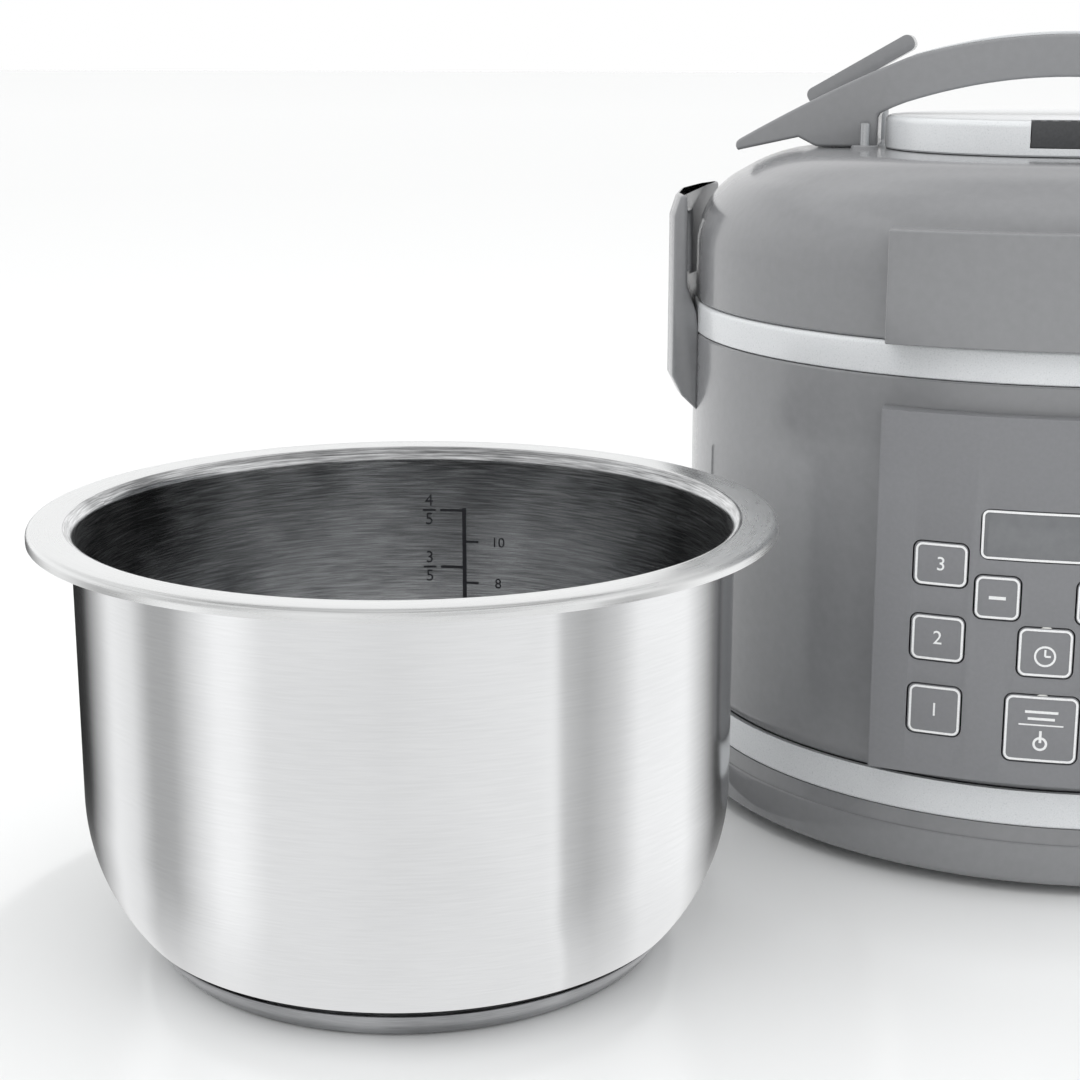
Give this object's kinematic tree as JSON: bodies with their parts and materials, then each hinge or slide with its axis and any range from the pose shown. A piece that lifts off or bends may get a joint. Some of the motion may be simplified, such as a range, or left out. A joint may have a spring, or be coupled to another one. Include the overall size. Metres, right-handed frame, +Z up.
{
  "type": "electric pressure cooker",
  "caption": "Round electric pressure cooker with hinged lid, arch handle and front keys, and its flanged steel inner pot standing beside it.",
  "frame": {"origin": "centre of the bounding box at the table plane, cooker and pot together", "axes": "+Z up, +Y towards the cooker's rear, +X to the right seen from the front panel"},
  "size_m": [0.4776, 0.5, 0.2958],
  "materials": {
    "dark_plastic": "glossy moulded",
    "black_plastic": "fine texture",
    "silver_plastic": "satin silver",
    "steel": "polished and brushed",
    "aluminium": "satin",
    "rubber": "matte",
    "silicone": "matte translucent",
    "circuit_board": "solder mask",
    "smoked_acrylic": "polished",
    "clear_plastic": "clear moulded"
  },
  "bodies": {
    "cooker_body": {"base_tray": "dark_plastic", "foot_front_left": "rubber", "foot_front_right": "rubber", "foot_rear_left": "rubber", "foot_rear_right": "rubber", "lower_band": "silver_plastic", "outer_casing": "dark_plastic", "trim_ring": "silver_plastic", "deck_trough": "black_plastic", "middle_pot": "aluminium", "heating_plate": "aluminium", "spring_plate": "steel", "pressure_switch": "black_plastic", "power_board": "circuit_board", "control_board": "circuit_board", "control_housing": "dark_plastic", "display_lens": "smoked_acrylic", "side_grip_left": "dark_plastic", "side_grip_right": "dark_plastic", "power_inlet": "black_plastic", "inlet_pin_live": "steel", "inlet_pin_earth": "steel", "inlet_pin_neutral": "steel", "hinge_bracket": "black_plastic", "hinge_pin": "steel", "cup_holder": "black_plastic"},
    "sensor": {"sensor_cap": "aluminium"},
    "cup": {"condensate_cup": "clear_plastic"},
    "lid": {"lid_shell": "dark_plastic", "lid_platform": "silver_plastic", "vent_grille": "black_plastic", "lid_hinge_arm": "black_plastic", "centre_boss": "black_plastic", "inner_lid": "steel", "sealing_ring": "silicone", "vent_tube": "steel", "anti_block_cap": "steel", "lever_bracket": "dark_plastic"},
    "handle_lock": {"handle_arch": "dark_plastic", "handle_inlay": "silver_plastic", "locking_ring": "aluminium"},
    "float_valve": {"float_pin": "steel"},
    "weight_valve": {"pressure_weight": "steel"},
    "lever": {"release_lever": "dark_plastic"},
    "plunger": {"release_plunger": "steel"},
    "inner_pot": {"pot_shell": "steel", "pot_core_disc": "aluminium", "pot_base_cap": "steel"},
    "key_minus_cap": {"key_minus": "dark_plastic"},
    "key_plus_cap": {"key_plus": "dark_plastic"},
    "key_timer_cap": {"key_timer": "dark_plastic"},
    "key_cancel_cap": {"key_cancel": "dark_plastic"},
    "key_left_top_cap": {"key_left_top": "dark_plastic"},
    "key_left_middle_cap": {"key_left_middle": "dark_plastic"},
    "key_left_bottom_cap": {"key_left_bottom": "dark_plastic"},
    "key_right_top_cap": {"key_right_top": "dark_plastic"},
    "key_right_middle_cap": {"key_right_middle": "dark_plastic"},
    "key_right_bottom_cap": {"key_right_bottom": "dark_plastic"}
  },
  "joints": [
    {"name": "lid_open", "type": "hinge", "parent": "cooker_body", "child": "lid", "pos_m": [0.0862, 0.238, 0.19], "axis": [-1, 0, 0], "range_deg": [0, 82]},
    {"name": "handle_turn", "type": "hinge", "parent": "lid", "child": "handle_lock", "pos_m": [0.0862, 0.08, 0.251], "axis": [0, 0, -1], "range_deg": [0, 20]},
    {"name": "float_rise", "type": "slide", "parent": "lid", "child": "float_valve", "axis": [0, 0, 1], "range_m": [0, 0.004]},
    {"name": "weight_rise", "type": "slide", "parent": "lid", "child": "weight_valve", "axis": [0, 0, 1], "range_m": [0, 0.003]},
    {"name": "lever_press", "type": "hinge", "parent": "lid", "child": "lever", "pos_m": [-0.0108, 0.162, 0.262], "axis": [0, 1, 0], "range_deg": [0, 10], "stiffness_Nm_per_rad": 0.6, "springref_deg": -3.44},
    {"name": "plunger_press", "type": "slide", "parent": "lid", "child": "plunger", "axis": [0, 0, -1], "range_m": [0, 0.004]},
    {"name": "sensor_press", "type": "slide", "parent": "cooker_body", "child": "sensor", "axis": [0, 0, -1], "range_m": [0, 0.0018], "stiffness_N_per_m": 600, "springref_m": -0.001},
    {"name": "cup_lift", "type": "slide", "parent": "cooker_body", "child": "cup", "axis": [0, 0, 1], "range_m": [0, 0.005]},
    {"name": "pot_lift", "type": "slide", "parent": "cooker_body", "child": "inner_pot", "axis": [0, 0, 1], "range_m": [0, 0.25]},
    {"name": "key_minus_press", "type": "slide", "parent": "cooker_body", "child": "key_minus_cap", "axis": [0, 1, 0], "range_m": [0, 0.0012], "stiffness_N_per_m": 400},
    {"name": "key_plus_press", "type": "slide", "parent": "cooker_body", "child": "key_plus_cap", "axis": [0, 1, 0], "range_m": [0, 0.0012], "stiffness_N_per_m": 400},
    {"name": "key_timer_press", "type": "slide", "parent": "cooker_body", "child": "key_timer_cap", "axis": [0, 1, 0], "range_m": [0, 0.0012], "stiffness_N_per_m": 400},
    {"name": "key_cancel_press", "type": "slide", "parent": "cooker_body", "child": "key_cancel_cap", "axis": [0, 1, 0], "range_m": [0, 0.0012], "stiffness_N_per_m": 400},
    {"name": "key_left_top_press", "type": "slide", "parent": "cooker_body", "child": "key_left_top_cap", "axis": [0, 1, 0], "range_m": [0, 0.0012], "stiffness_N_per_m": 400},
    {"name": "key_left_middle_press", "type": "slide", "parent": "cooker_body", "child": "key_left_middle_cap", "axis": [0, 1, 0], "range_m": [0, 0.0012], "stiffness_N_per_m": 400},
    {"name": "key_left_bottom_press", "type": "slide", "parent": "cooker_body", "child": "key_left_bottom_cap", "axis": [0, 1, 0], "range_m": [0, 0.0012], "stiffness_N_per_m": 400},
    {"name": "key_right_top_press", "type": "slide", "parent": "cooker_body", "child": "key_right_top_cap", "axis": [0, 1, 0], "range_m": [0, 0.0012], "stiffness_N_per_m": 400},
    {"name": "key_right_middle_press", "type": "slide", "parent": "cooker_body", "child": "key_right_middle_cap", "axis": [0, 1, 0], "range_m": [0, 0.0012], "stiffness_N_per_m": 400},
    {"name": "key_right_bottom_press", "type": "slide", "parent": "cooker_body", "child": "key_right_bottom_cap", "axis": [0, 1, 0], "range_m": [0, 0.0012], "stiffness_N_per_m": 400}
  ],
  "couplings": [
    {"joint": "plunger_press", "follows": "lever_press", "m_per_rad": 0.021}
  ]
}
